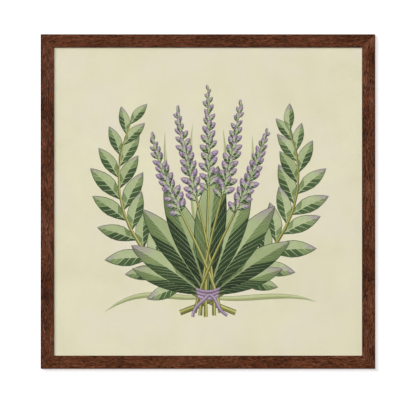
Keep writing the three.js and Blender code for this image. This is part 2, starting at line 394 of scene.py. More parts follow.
def picture_glass():
    """Clear float glass. Lamps' rays, and those the print sends on, pass straight through it, so the
    print behind is evenly lit."""
    made, shader = material(
        "picture_glass", Base_Color=(0.985, 1.0, 0.992, 1.0), Roughness=0.0, IOR=1.5, Transmission_Weight=1.0
    )
    tree = shader.id_data
    clear = add(tree, "ShaderNodeBsdfTransparent")[0]
    path = add(tree, "ShaderNodeLightPath")
    surface = Value(shader.outputs[0])
    for ray in ("Is Shadow Ray", "Is Diffuse Ray"):
        surface = add(tree, "ShaderNodeMixShader", {0: path[ray], 1: surface, 2: clear})[0]
    plug(tree.nodes["Material Output"], {"Surface": surface})
    return made


def art_paper():
    """Matt cream paper with faint warm blushes."""
    made, shader = material("art_paper", Specular_IOR_Level=0.3)
    place = place_on(shader)
    wash = put(WASH, {"Vector": place, "Pool Size": 55 * MM})
    blush = spread_over(noise(place, 13.0, 5.0, 0.62), 0.44, 0.62, 0.0, 0.75)
    grain = spread_over(wash["Speckle"], 0.35, 0.65, 0.0, 0.03)
    cream = ramp(wash["Pools"], (0.32, 0.5, 0.68), ((232, 225, 193), (236, 229, 198), (239, 233, 202)))
    color = mixed(grain, mixed(blush, cream, srgb(238, 229, 209)), srgb(206, 198, 166))
    plug(shader, {"Base Color": color, "Roughness": spread_over(wash["Speckle"], 0.3, 0.7, 0.78, 0.9)})
    bump(shader, wash["Speckle"], 0.1, 0.03 * MM)
    return made


def ink(name, dark, mid, light, tip=None, hatch=0.0, tip_from=0.72, pool=14 * MM, root=None):
    """Printed gouache. The piece's UV map gives the way along (U) and across (V) each leaf or petal, and
    its tint attribute differs from leaf to leaf. tip is a second colour towards the end, root one
    towards the stalk, and hatch the strength of the fine pale lines that run along it."""
    made, shader = material(name, Specular_IOR_Level=0.1)
    tree = shader.id_data
    wash = put(WASH, {"Vector": place_on(shader), "Pool Size": pool})
    pools = wash["Pools"]
    tint = add(tree, "ShaderNodeAttribute", attribute_name="tint")["Fac"]
    color = ramp(pools * 0.62 + tint * 0.38, INK_TONES, (dark, mid, light))
    run = separated(add(tree, "ShaderNodeUVMap", uv_map="along")[0])
    if hatch:
        lines = maths("FRACT", (run[1] + pools * 0.05) * HATCH_LINES)
        line = spread_over(maths("ABSOLUTE", lines - 0.5), 0.36, 0.5)
        color = mixed(line * hatch, color, srgb(*HATCH_GREEN))
    if root:
        near = clamped(1.0 - run[0] / 0.5)
        near = clamped(near * spread_over(pools, 0.3, 0.7, 0.75, 1.15))
        color = mixed(near, color, srgb(*root))
    if tip:
        wet = run[0] + (pools - 0.5) * 0.3
        start = tip_from + 0.1 - tint * 0.2
        color = mixed(clamped((wet - start) / 0.24), color, srgb(*tip))
    speckled = mixed(spread_over(wash["Speckle"], 0.4, 0.7, 0.0, 0.28), color, srgb(*light))
    plug(shader, {"Base Color": speckled, "Roughness": spread_over(pools, 0.3, 0.7, 0.7, 0.86)})
    bump(shader, wash["Speckle"], 0.35, 0.05 * MM)
    return made


def hardboard():
    """Pressed fibre with the print of the wire screen that it was pressed on."""
    made, shader = material("hardboard", Specular_IOR_Level=0.35)
    place = place_on(shader)
    fibres = noise(place, 700.0, 4.0, 0.7)
    clouds = spread_over(noise(place, 16.0, 4.0, 0.55), 0.42, 0.64, 0.0, 0.4)
    brown = ramp(fibres, (0.3, 0.52, 0.72), ((84, 58, 38), (112, 79, 52), (139, 103, 70)))
    worn = mixed(clouds, brown, srgb(98, 70, 49))
    plug(shader, {"Base Color": worn, "Roughness": spread_over(fibres, 0.3, 0.7, 0.58, 0.8)})
    parts = separated(place)
    wires = [maths("SINE", parts[axis] * SCREEN_WAVE) for axis in (0, 2)]
    bump(shader, wires[0] * wires[1] * 0.4 + fibres, 0.5, 0.15 * MM)
    return made


def plated_steel(name, bright, dull):
    made, shader = material(name, Metallic=1.0)
    plate = put(PLATING, {"Vector": place_on(shader), "Spot Size": 1.6 * MM})
    rough = spread_over(plate["Streak"], 0.3, 0.7, 0.22, 0.4) + plate["Spot"] * 0.2
    plug(shader, {"Base Color": mixed(plate["Spot"] * 0.7, srgb(*bright), srgb(*dull)), "Roughness": rough})
    bump(shader, plate["Streak"], 0.3, 0.03 * MM)
    return made


def bumper_rubber():
    made, shader = material("bumper_rubber", Specular_IOR_Level=0.4)
    dust = noise(place_on(shader), 260.0, 4.0, 0.6)
    color = ramp(dust, (0.35, 0.6, 0.75), ((128, 130, 131), (150, 152, 153), (176, 176, 172)))
    plug(shader, {"Base Color": color, "Roughness": spread_over(dust, 0.3, 0.7, 0.42, 0.66)})
    bump(shader, dust, 0.25, 0.05 * MM)
    return made


def dress(node, finish):
    NODES[node].data.materials.clear()
    NODES[node].data.materials.append(finish)


# ================================================================ rails
LIP_COVER = 6.35 * MM  # how much of the sheet the front lip covers
LIP_DEPTH = 4 * MM
SHEET_PLAY = 0.8 * MM  # between the sheets' edges and the rabbet's wall, on average
OUTER_EASE = 0.9 * MM  # radii of the moulding's edges
SIGHT_EASE = 0.35 * MM
LIP_EASE = 0.3 * MM
BACK_EASE = 0.7 * MM
EASE_STEPS = 8
SLOT_PLAY = 0.15 * MM  # round the corner nails, in the wood
SLOT_REACH = 1 * MM  # past the wood's back; the nails end less than this in front of it
GRAIN_SHIFT = 0.61  # from each rail's stretch of wood to the next one's


def eased(corner, before, after, radius):
    """Points that round a profile's corner between the neighbours before and after it."""
    start = corner + (before - corner).normalized() * radius
    end = corner + (after - corner).normalized() * radius
    points = []
    for step in range(EASE_STEPS + 1):
        t = step / EASE_STEPS
        bow = t * (1 - t) * 2
        points.append(start * ((1 - t) ** 2) + end * (t**2) + corner * bow)
    return points


def rounded(corners):
    """The points of a section whose corners, each a place and a radius, are rounded."""
    points = []
    for count, (place, radius) in enumerate(corners):
        corner = Vector(place)
        before = Vector(corners[count - 1][0])
        after = Vector(corners[(count + 1) % len(corners)][0])
        points += eased(corner, before, after, radius) if radius else [corner]
    return points


def rail_profile():
    """The moulding's section: x runs inward from the outer face and y from front to back."""
    rabbet = RAIL_WIDTH - LIP_COVER - SHEET_PLAY
    return rounded([
        ((0, FRONT_Y), OUTER_EASE),
        ((0, BACK_Y), BACK_EASE),
        ((rabbet, BACK_Y), BACK_EASE),
        ((rabbet, FRONT_Y + LIP_DEPTH), 0.0),
        ((RAIL_WIDTH, FRONT_Y + LIP_DEPTH), LIP_EASE),
        ((RAIL_WIDTH, FRONT_Y), SIGHT_EASE),
    ])


def fine_rail(side, nail_slots):
    """One rail with soft arrises and close mitres, cut for the corner nails."""
    profile = rail_profile()
    turn = Matrix.Rotation(SIDES.index(side) * QUARTER_TURN, 3, "Y")
    ends = []
    mesh = bmesh.new()
    for hand in (-1, 1):
        ring = []
        for inward, y in profile:
            at = turn @ Vector((hand * (HALF_SIDE - inward), 0.0, HALF_SIDE - inward))
            ring.append(mesh.verts.new((CENTRE.x + at.x, y, CENTRE.z + at.z)))
        ends.append(ring)
    for count, start in enumerate(ends[0]):
        after = (count + 1) % len(profile)
        mesh.faces.new((start, ends[0][after], ends[1][after], ends[1][count])).smooth = True
    for ring in ends:
        mesh.faces.new(ring)
    bmesh.ops.recalc_face_normals(mesh, faces=mesh.faces)
    rail = finished_mesh("fine_rail_" + side, mesh)
    rail.modifiers.new("slots", "BOOLEAN").object = nail_slots
    return flattened(rail)


def flattened(made):
    """The piece with its modifiers applied to its mesh, less the slivers that a cut leaves."""
    graph = bpy.context.evaluated_depsgraph_get()
    made.data = bpy.data.meshes.new_from_object(made.evaluated_get(graph))
    made.modifiers.clear()
    mesh = bmesh.new()
    mesh.from_mesh(made.data)
    bmesh.ops.remove_doubles(mesh, verts=mesh.verts, dist=MERGE)
    bmesh.ops.dissolve_degenerate(mesh, dist=MERGE, edges=mesh.edges)
    mesh.to_mesh(made.data)
    mesh.free()
    return made


def fit(piece, node, finish):
    """Puts a finished piece in a plain node's place, smooth but for its sharp edges."""
    if piece.data.has_custom_normals:
        piece.data.attributes.remove(piece.data.attributes["custom_normal"])
    piece.data.shade_smooth()
    piece.data.set_sharp_from_angle(angle=SHARP)
    piece.data.materials.clear()
    piece.data.materials.append(finish)
    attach(piece, "root")
    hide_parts(node)


def driven_nails():
    """The corner nails, a hair larger and open to the back: what is cut from the wood for them."""
    mesh = bmesh.new()
    for node in NODES:
        if node.startswith("corner_nail"):
            mesh.from_mesh(NODES[node].data)
    bmesh.ops.remove_doubles(mesh, verts=mesh.verts, dist=MERGE)
    mesh.normal_update()
    for vert in mesh.verts:
        at_back = vert.co.y > BACK_Y - SLOT_REACH
        vert.co += vert.normal * SLOT_PLAY
        if at_back:
            vert.co.y = BACK_Y + SLOT_REACH
    return finished_mesh("nail_slots", mesh)


def finished_mesh(name, mesh):
    data = bpy.data.meshes.new(name)
    mesh.to_mesh(data)
    mesh.free()
    return in_scene(bpy.data.objects.new(name, data))


def in_scene(made):
    bpy.context.scene.collection.objects.link(made)
    return made


nail_slots = driven_nails()
for count, side in enumerate(SIDES):
    upright = side in ("left", "right")
    turn, purple, patches = (QUARTER_TURN, 0.46, 0.55) if upright else (0.0, 0.35, 0.28)
    wood = walnut("walnut_" + side, turn, count * GRAIN_SHIFT, purple, patches)
    fit(fine_rail(side, nail_slots), "rail_" + side, wood)
bpy.data.objects.remove(nail_slots)
dress("glazing", picture_glass())
dress("print", art_paper())
dress("backing_board", hardboard())

# ================================================================ hardware
STEEL_ARRIS = 0.12 * MM
ARRIS_STEPS = 2
FLAT = math.radians(1)  # faces that differ by less are one face
TURN_STEPS = 40
BRAD_HEAD = 0.8 * MM
BRAD_SHANK = 0.65 * MM
BRAD_TIP = 1.6 * MM
BRAD_TOP = 0.97  # of the head's radius, at its rounded top edge
BRAD_EASE = 0.6 * MM
BUMPER_LIP = 0.8 * MM
BUMPER_FACE = 4.5 * MM
BUMPER_EASES = (0.1 * MM, 0.5 * MM, 0.6 * MM)  # at the foot, the side's top and the face's rim


def softened(node):
    """A copy of a steel piece with its arrises rounded."""
    mesh = bmesh.new()
    mesh.from_mesh(NODES[node].data)
    bmesh.ops.remove_doubles(mesh, verts=mesh.verts, dist=MERGE)
    bmesh.ops.dissolve_limit(mesh, angle_limit=FLAT, verts=mesh.verts, edges=mesh.edges)
    arrises = [edge for edge in mesh.edges if edge.calc_face_angle(0.0) > SHARP]
    bmesh.ops.bevel(mesh, geom=arrises, offset=STEEL_ARRIS, segments=ARRIS_STEPS, affect="EDGES", profile=0.5)
    return finished_mesh("fine_" + node, mesh)


def put_in_order(mesh):
    """Lists edges and faces by their corners, because a spin lists them differently on each run."""
    mesh.verts.index_update()
    for parts in (mesh.edges, mesh.faces):
        ordered = sorted(parts, key=lambda part: sorted(vert.index for vert in part.verts))
        for place, part in enumerate(ordered):
            part.index = place
        parts.sort()


def turned(node, profile):
    """A piece turned about Y on the node's axis, from its section of radii and depths."""
    middle = (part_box(node)[0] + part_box(node)[1]) / 2
    mesh = bmesh.new()
    verts = [mesh.verts.new((middle.x + radius, y, middle.z)) for radius, y in profile]
    edges = [mesh.edges.new(pair) for pair in zip(verts, verts[1:])]
    around = {"cent": (middle.x, 0, middle.z), "axis": (0, 1, 0), "angle": 4 * QUARTER_TURN}
    bmesh.ops.spin(mesh, geom=verts + edges, steps=TURN_STEPS, use_merge=True, **around)
    bmesh.ops.remove_doubles(mesh, verts=mesh.verts, dist=MERGE)
    bmesh.ops.recalc_face_normals(mesh, faces=mesh.faces)
    put_in_order(mesh)
    for face in mesh.faces:
        face.smooth = True
    return finished_mesh("fine_" + node, mesh)


def brad_profile(node):
    low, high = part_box(node)
    radius = (high.x - low.x) / 2
    seat = high.y - BRAD_HEAD
    return rounded([
        ((0, low.y), 0),
        ((BRAD_SHANK, low.y + BRAD_TIP), 0),
        ((BRAD_SHANK, seat), 0),
        ((radius, seat), 0),
        ((radius * BRAD_TOP, high.y), BRAD_EASE),
        ((0, high.y), 0),
    ])


def bumper_profile(node):
    low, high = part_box(node)
    radius = (high.x - low.x) / 2
    foot, side, rim = BUMPER_EASES
    return rounded([
        ((0, low.y), 0),
        ((radius, low.y), foot),
        ((radius, low.y + BUMPER_LIP), side),
        ((BUMPER_FACE, high.y), rim),
        ((0, high.y), 0),
    ])


zinc = plated_steel("zinc_plate", (196, 198, 201), (142, 144, 146))
brassed = plated_steel("brass_plate", (158, 130, 82), (108, 88, 56))
rubber = bumper_rubber()
for node in NODES:
    if node.startswith(("retaining_point", "corner_nail")):
        fit(softened(node), node, zinc)
    elif node.startswith("hanger_brad"):
        fit(turned(node, brad_profile(node)), node, brassed)
    elif node == "hanger":
        fit(softened(node), node, brassed)
    elif node.startswith("bumper"):
        fit(turned(node, bumper_profile(node)), node, rubber)

# ================================================================ the printed design
# Every colour is a flat layer of ink, on planes between the paper and the glass. Places in the design
# are in millimetres from the sheet's middle, to the right and up.
BLADE_DEPTH = 0.03 * MM
LEAF_DEPTH = 0.07 * MM
BRANCH_DEPTH = 0.13 * MM
BROAD_DEPTH = 0.17 * MM
SPIKE_DEPTH = 0.27 * MM
SIDE_FLORET_DEPTH = 0.31 * MM
FLORET_DEPTH = 0.37 * MM
TIE_DEPTH = 0.43 * MM
OVERLAP_STEP = 0.012 * MM  # between neighbouring shapes of one layer
ROUTE_STEP = 0.002 * MM  # between shapes of one layer on different routes
FAN_ROOT = 138 * MM  # below the sheet's middle
CONTOUR, DEEP, MIDDLE, LIGHT, VEIN = range(5)
INK_NAMES = {CONTOUR: "contour", DEEP: "deep", MIDDLE: "middle", LIGHT: "light", VEIN: "vein"}

# Each route is a Bezier curve: its start, the two handles and its end.
BRANCHES = [
    [(40, -160), (-62, -124), (-172, -30), (-112, 112)],
    [(-40, -160), (64, -126), (168, -22), (118, 102)],
]
SPIKES = [
    [(-3, -166), (-6, -70), (6, 30), (0, 160)],
    [(9, -164), (10, -60), (-26, 20), (-44, 130)],
    [(-11, -164), (-8, -60), (30, 10), (46, 138)],
    [(18, -160), (4, -76), (-52, -14), (-80, 92)],
    [(-19, -160), (-2, -76), (48, -20), (84, 98)],
]
BLADES = [
    [(8, -134), (-46, -150), (-86, -112), (-148, -158)],
    [(-8, -134), (38, -150), (104, -124), (156, -144)],
    [(0, -140), (-12, -50), (-32, 24), (-22, 112)],
    [(0, -140), (12, -50), (34, 20), (22, 104)],
    [(0, -140), (-30, -60), (-66, 10), (-62, 100)],
    [(0, -140), (36, -60), (70, 4), (64, 96)],
]
TIES = [
    [(-17, -126), (-6, -131), (6, -131), (17, -125)],
    [(-16, -131), (-5, -136), (6, -136), (16, -130)],
    [(-15, -136), (-5, -141), (6, -141), (15, -135)],
    [(3, -134), (16, -142), (10, -154), (28, -164)],
    [(1, -134), (-8, -146), (-20, -148), (-22, -166)],
]


def route_curve(name, routes):
    """One curve with a Bezier spline for each route."""
    data = bpy.data.curves.new(name, "CURVE")
    data.dimensions = "3D"
    for route in routes:
        places = [Vector((SHEET_CENTRE.x + x * MM, PAPER_Y, SHEET_CENTRE.z + z * MM)) for x, z in route]
        spline = data.splines.new("BEZIER")
        spline.bezier_points.add(1)
        first, last = spline.bezier_points
        for point in (first, last):
            point.handle_left_type = point.handle_right_type = "FREE"
        first.co = first.handle_left = places[0]
        first.handle_right = places[1]
        last.handle_left = places[2]
        last.co = last.handle_right = places[3]
    return data


# ---- blanks: a leaf or a floret, flat, one unit long, up Z from its stalk at the origin ----
COLUMNS = 7  # of patches across a blank: a contour at each side, and the rib in the middle
RIB_COLUMN = COLUMNS // 2
REACHES = (0.0, 0.5, 0.94, 1.0)  # how far out from the rib its four lines lie, on either side
VEIN_TAPER = 0.8  # of a side vein's width, lost on its way out
RIB_TAPER = 0.75  # of the rib's width, lost on its way up


def blank(name, shape, veins, facet):
    """A flat patchwork of ink patches: contour, midrib, side veins and the blade between them.
    shape holds half_width, base and tip (how fast it widens and narrows), stalk (half width), contour,
    rib and vein (line widths), slant (how far the veins sweep forward) and bend, all in lengths.
    facet(row, side) gives the ink of a patch of the blade, side -1 or 1."""
    lines = [(0.0, 0)]
    for index in range(veins):
        middle = (index + 1) / (veins + 1)
        lines += [(middle, -1), (middle, 1)]
    lines.append((1.0, 0))
    bm = bmesh.new()
    ink_of = bm.faces.layers.int.new("ink")
    along = bm.loops.layers.uv.new("along")
    grid = [[bm.verts.new(patch_corner(shape, *line, column)) for column in range(-4, 4)] for line in lines]
    for row, (lower, upper) in enumerate(zip(grid, grid[1:])):
        for column in range(COLUMNS):
            after = column + 1
            face = bm.faces.new((lower[column], lower[after], upper[after], upper[column]))
            if column in (0, COLUMNS - 1):
                face[ink_of] = CONTOUR
            elif column == RIB_COLUMN or row % 2:
                face[ink_of] = VEIN
            else:
                face[ink_of] = facet(row // 2, -1 if column < RIB_COLUMN else 1)
            for loop in face.loops:
                spot = loop.vert.co
                loop[along].uv = (spot.z, (spot.x - shape["bend"] * spot.z**2) / shape["half_width"])
    bmesh.ops.remove_doubles(bm, verts=bm.verts, dist=BLANK_MERGE)
    bmesh.ops.dissolve_degenerate(bm, dist=BLANK_MERGE, edges=bm.edges)
    mesh = bpy.data.meshes.new(name)
    bm.to_mesh(mesh)
    bm.free()
    return bpy.data.objects.new(name, mesh)


def patch_corner(shape, middle, edge, column):
    """column runs from -4 to 3: contour, edge of the blade, its middle and the rib, on each side."""
    side = -1 if column < 0 else 1
    step = -column - 1 if column < 0 else column  # 0 at the rib, 3 at the contour's outer line
    reach = REACHES[step]
    t = middle + edge * shape["vein"] * (1 - VEIN_TAPER * reach) / 2
    s = t + shape["slant"] * reach * t * (1 - t)
    outer = half_width_at(shape, s)
    inner = max(outer - shape["contour"], 0.0)
    rib = min(shape["rib"] * (1 - RIB_TAPER * s) / 2, inner)
    out = (rib, (rib + inner) / 2, inner, outer)[step]
    return (side * out + shape["bend"] * s * s, 0.0, s)


def half_width_at(shape, s):
    rise, fall = shape["base"], shape["tip"]
    peak = (rise / (rise + fall)) ** rise * (fall / (rise + fall)) ** fall
    blade = max(s - shape["foot"], 0.0) / (1 - shape["foot"])
    swell = blade**rise * max(1 - blade, 0.0) ** fall / peak
    return max(shape["half_width"] * swell, shape["stalk"] * (1 - s))


LEAF_SHAPE = {
    "half_width": 0.19, "base": 0.8, "tip": 1.0, "foot": 0.07, "stalk": 0.016,
    "contour": 0.013, "rib": 0.026, "vein": 0.022, "slant": 0.62, "bend": 0.1,
}
BROAD_SHAPE = {
    "half_width": 0.12, "base": 0.95, "tip": 0.85, "foot": 0.08, "stalk": 0.016,
    "contour": 0.0055, "rib": 0.018, "vein": 0.008, "slant": 0.9, "bend": 0.1,
}
FLORET_SHAPE = {
    "half_width": 0.24, "base": 0.7, "tip": 0.75, "foot": 0.06, "stalk": 0.05,
    "contour": 0.032, "rib": 0.06, "vein": 0.05, "slant": 0.5, "bend": 0.08,
}


def leaf_facet(row, side):
    if side < 0:
        return MIDDLE if row < 2 else LIGHT
    return DEEP if row < 4 else MIDDLE


def broad_facet(row, side):
    if side < 0:
        return DEEP if row < 3 else MIDDLE if row < 7 else LIGHT
    return DEEP if row < 9 else MIDDLE


def floret_facet(row, side):
    if side < 0:
        return MIDDLE if row < 1 else LIGHT
    return DEEP if row < 2 else MIDDLE


# ---- Geometry Nodes: what repeats along a route, and strips that follow one ----
LENGTH_DRAW, TINT_DRAW = 500.0, 900.0  # added to an item's number for its own random draws


def laid_on_plane(geometry, depth):
    """Moves every point to the given distance in front of the paper."""
    tree = geometry.tree
    place = separated(add(tree, "GeometryNodeInputPosition")[0])
    values = {"Geometry": geometry, "Position": combined(place[0], PAPER_Y - depth, place[2])}
    return add(tree, "GeometryNodeSetPosition", values)[0]


def random_value(low, high, seed, item):
    values = {2: low, 3: high, "ID": item, "Seed": seed}
    return add(item.tree, "FunctionNodeRandomValue", values, data_type="FLOAT")[1]


def noted(geometry, name, value, domain="POINT", kind="FLOAT"):
    """The geometry with a value kept on it under a name."""
    values = {"Geometry": geometry, "Name": name, "Value": value}
    return add(geometry.tree, "GeometryNodeStoreNamedAttribute", values, data_type=kind, domain=domain)[0]


def recalled(tree, name, kind="FLOAT"):
    return add(tree, "GeometryNodeInputNamedAttribute", {"Name": name}, data_type=kind)[0]


def route_number(tree):
    return add(tree, "GeometryNodeCurveOfPoint")[0]


def size_along(given, run, measure):
    """A measure that goes from its base value to its tip value, with a swell halfway."""
    base, tip = given["Base " + measure], given["Tip " + measure]
    return base + (tip - base) * run + run * (1.0 - run) * 4.0 * given["Swell"]


def points_along(routes, count, first=0.0, last=1.0):
    """Evenly spaced points on the part of each route from first to last, and how far along each is."""
    tree = routes.tree
    part = add(tree, "GeometryNodeTrimCurve", {"Curve": routes, "Start": first, "End": last})[0]
    points = add(tree, "GeometryNodeResampleCurve", {"Curve": part, "Count": count})[0]
    return points, add(tree, "GeometryNodeSplineParameter")["Factor"]


def sprig_tree():
    """Blanks set alternately to the left and right of each route, larger or smaller along it."""
    tree, given, out = new_group(
        "GeometryNodeTree",
        "sprig",
        {
            "Geometry": "Geometry", "Blank": "Object", "Count": 12, "First": 0.2, "Last": 1.0,
            "Base Length": 0.05, "Tip Length": 0.03, "Swell": 0.0, "Base Spread": 0.7, "Tip Spread": 0.3,
            "Unevenness": 0.1, "Depth": 0.0, "Seed": 1, "Ink": 0, "Finish": "Material",
        },
        {"Geometry": "Geometry"},
    )
    routes = noted(given["Geometry"], "route", route_number(tree))
    points, run = points_along(routes, given["Count"], given["First"], given["Last"])
    index = add(tree, "GeometryNodeInputIndex")[0]
    side = index % 2.0 * 2.0 - 1.0
    layer = index % 4.0 * OVERLAP_STEP + recalled(tree, "route") * ROUTE_STEP
    placed = laid_on_plane(points, given["Depth"] + layer)

    chance = random_value(-1.0, 1.0, given["Seed"], index)
    spread = given["Base Spread"] + (given["Tip Spread"] - given["Base Spread"]) * run
    turn = combined(y=(spread + chance * given["Unevenness"]) * side)
    tangent = add(tree, "GeometryNodeInputTangent")[0]
    facing = add(tree, "FunctionNodeAlignRotationToVector", {"Vector": tangent}, axis="Z", pivot_axis="Y")
    values = {0: facing[0], 1: add(tree, "FunctionNodeEulerToRotation", {0: turn})[0]}
    turned = add(tree, "FunctionNodeRotateRotation", values, rotation_space="GLOBAL")[0]

    luck = random_value(0.9, 1.08, given["Seed"], index + LENGTH_DRAW)
    length = size_along(given, run, "Length") * luck
    size = combined(length * side, length, length)
    plug(out, {0: inked_copies(given, placed, turned, size, index)})
    return tree


def inked_copies(given, points, turned, size, index):
    """The blank's copies on the points, each with a tint of its own, of which one ink is kept."""
    tree = points.tree
    shape = add(tree, "GeometryNodeObjectInfo", {"Object": given["Blank"]})["Geometry"]
    values = {"Points": points, "Instance": shape, "Rotation": turned, "Scale": size}
    copies = add(tree, "GeometryNodeInstanceOnPoints", values)[0]
    tint = random_value(0.0, 1.0, given["Seed"], index + TINT_DRAW)
    whole = add(tree, "GeometryNodeRealizeInstances", {0: noted(copies, "tint", tint, "INSTANCE")})[0]
    values = {2: recalled(tree, "ink", "INT"), 3: given["Ink"]}
    other = add(tree, "FunctionNodeCompare", values, data_type="INT", operation="NOT_EQUAL")[0]
    kept = add(tree, "GeometryNodeDeleteGeometry", {"Geometry": whole, "Selection": other}, domain="FACE")[0]
    return add(tree, "GeometryNodeSetMaterial", {"Geometry": kept, "Material": given["Finish"]})[0]


def fan_tree():
    """Blanks that spread from one root like a fan, the middle one longest and in front."""
    tree, given, out = new_group(
        "GeometryNodeTree",
        "fan",
        {
            "Geometry": "Geometry", "Blank": "Object", "Count": 7, "Root": "Vector", "Sweep": 2.0,
            "Middle Length": 0.18, "Edge Length": 0.12, "Unevenness": 0.05, "Depth": 0.0, "Seed": 1,
            "Ink": 0, "Finish": "Material",
        },
        {"Geometry": "Geometry"},
    )
    points = add(tree, "GeometryNodePoints", {"Count": given["Count"], "Position": given["Root"]})[0]
    index = add(tree, "GeometryNodeInputIndex")[0]
    last = given["Count"] - 1.0
    place = index / last * 2.0 - 1.0
    outwards = maths("ABSOLUTE", place)
    chance = random_value(-1.0, 1.0, given["Seed"], index)
    angle = place * (given["Sweep"] / 2.0) + chance * given["Unevenness"]
    turned = add(tree, "FunctionNodeEulerToRotation", {0: combined(y=angle)})[0]
    luck = random_value(0.93, 1.05, given["Seed"], index + LENGTH_DRAW)
    length = given["Middle Length"] + (given["Edge Length"] - given["Middle Length"]) * outwards
    length = length * luck
    size = combined(length * maths("SIGN", place + 0.01), length, length)
    rank = (1.0 - outwards) * last + maths("LESS_THAN", place, 0.0)
    placed = laid_on_plane(points, given["Depth"] + rank * (0.5 * OVERLAP_STEP))
    plug(out, {0: inked_copies(given, placed, turned, size, index)})
    return tree


def strip_tree():
    """A flat strip along each route, from one share of its half width to another: -1 is its left edge
    and 1 its right one."""
    tree, given, out = new_group(
        "GeometryNodeTree",
        "strip",
        {
            "Geometry": "Geometry", "Steps": 40, "Last": 1.0, "Base Width": 0.004, "Tip Width": 0.001,
            "Swell": 0.0, "From": -1.0, "To": 1.0, "Depth": 0.0, "Seed": 1, "Finish": "Material",
        },
        {"Geometry": "Geometry"},
    )
    points, run = points_along(given["Geometry"], given["Steps"], last=given["Last"])
    values = {"Curve": points, "Radius": size_along(given, run, "Width") / 2.0}
    sized = noted(add(tree, "GeometryNodeSetCurveRadius", values)[0], "run", run)
    route = route_number(tree)
    sized = noted(sized, "route", route)
    sized = noted(sized, "tint", random_value(0.0, 1.0, given["Seed"], route))

    values = {"Start": combined(y=given["From"]), "End": combined(y=given["To"])}
    line = add(tree, "GeometryNodeCurvePrimitiveLine", values)[0]
    line = noted(line, "across", separated(add(tree, "GeometryNodeInputPosition")[0])[1])
    half_width = add(tree, "GeometryNodeInputRadius")[0]
    values = {"Curve": sized, "Profile Curve": line, "Scale": half_width}
    strip = add(tree, "GeometryNodeCurveToMesh", values)[0]
    flat = laid_on_plane(strip, given["Depth"] + recalled(tree, "route") * OVERLAP_STEP)
    way = combined(recalled(tree, "run"), recalled(tree, "across"))
    whole = add(tree, "GeometryNodeRealizeInstances", {0: noted(flat, "along", way, "CORNER", "FLOAT2")})[0]
    values = {"Geometry": whole, "Material": given["Finish"]}
    plug(out, {0: add(tree, "GeometryNodeSetMaterial", values)[0]})
    return tree


def grown(base, tree, values):
    """The plain mesh that the tree makes from the base curve."""
    source = in_scene(bpy.data.objects.new("growth", base))
    maker = source.modifiers.new("grow", "NODES")
    maker.node_group = tree
    for item in tree.interface.items_tree:
        if item.in_out == "INPUT" and item.name in values:
            maker[item.identifier] = values[item.name]
    graph = bpy.context.evaluated_depsgraph_get()
    mesh = bpy.data.meshes.new_from_object(
        source.evaluated_get(graph), preserve_all_data_layers=True, depsgraph=graph
    )
    bpy.data.objects.remove(source)
    return mesh


def ink_layer(name, meshes):
    """One piece of the print from one or more meshes of one ink, faces towards the viewer."""
    objects = [in_scene(bpy.data.objects.new(name, mesh)) for mesh in meshes]
    layer = objects[0]
    if len(objects) > 1:
        with bpy.context.temp_override(active_object=layer, selected_editable_objects=objects):
            bpy.ops.object.join()
    bm = bmesh.new()
    bm.from_mesh(layer.data)
    bmesh.ops.remove_doubles(bm, verts=bm.verts, dist=INK_MERGE)
    bmesh.ops.reverse_faces(bm, faces=[face for face in bm.faces if face.normal.y > 0])
    bm.to_mesh(layer.data)
    bm.free()
    layer.name = layer.data.name = name
    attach(layer, "root")


LEAF_INKS = {
    DEEP: ink("leaf_deep", (34, 56, 32), (52, 76, 42), (78, 102, 58), hatch=0.34),
    MIDDLE: ink("leaf_middle", (94, 116, 68), (116, 136, 84), (138, 154, 100),
                tip=(132, 110, 132), tip_from=0.82, hatch=0.5),
    LIGHT: ink("leaf_light", (160, 174, 124), (176, 188, 140), (192, 201, 156),
               tip=(172, 146, 170), tip_from=0.74),
    VEIN: ink("leaf_vein", (168, 182, 130), (186, 197, 148), (200, 208, 162)),
    CONTOUR: ink("leaf_contour", (38, 50, 30), (54, 66, 42), (74, 86, 58)),
}
BROAD_INKS = {
    DEEP: ink("broad_deep", (20, 36, 20), (34, 54, 28), (54, 78, 42),
              hatch=0.22, pool=26 * MM, root=(8, 15, 6)),
    MIDDLE: ink("broad_middle", (88, 108, 62), (108, 127, 76), (128, 144, 90),
                tip=(124, 98, 126), tip_from=0.86, hatch=0.45, pool=26 * MM, root=(38, 56, 28)),
    LIGHT: ink("broad_light", (158, 171, 122), (174, 185, 138), (190, 199, 152),
               tip=(168, 138, 166), tip_from=0.8, pool=26 * MM),
    VEIN: ink("broad_vein", (152, 168, 114), (172, 186, 134), (190, 202, 152), root=(72, 90, 48)),
    CONTOUR: ink("broad_contour", (32, 44, 26), (46, 60, 36), (64, 78, 48)),
}
FLORET_INKS = {
    DEEP: ink("floret_deep", (52, 74, 44), (68, 90, 54), (86, 106, 66), tip=(98, 68, 116), tip_from=0.42),
    MIDDLE: ink("floret_middle", (100, 122, 74), (118, 138, 88), (136, 152, 102),
                tip=(142, 106, 152), tip_from=0.46),
    LIGHT: ink("floret_light", (160, 174, 126), (176, 188, 142), (190, 200, 156),
               tip=(182, 150, 184), tip_from=0.5),
    VEIN: ink("floret_vein", (188, 198, 158), (200, 207, 172), (208, 213, 184),
              tip=(206, 186, 206), tip_from=0.5),
    CONTOUR: ink("floret_contour", (42, 54, 34), (56, 66, 44), (72, 82, 58),
                 tip=(72, 50, 82), tip_from=0.44),
}
STEM_INKS = {
    CONTOUR: ink("stem_contour", (58, 62, 36), (74, 78, 46), (92, 94, 60)),
    DEEP: ink("stem_shade", (110, 112, 56), (128, 128, 66), (146, 144, 78)),
    LIGHT: ink("stem_light", (178, 172, 92), (194, 188, 108), (206, 200, 126)),
}
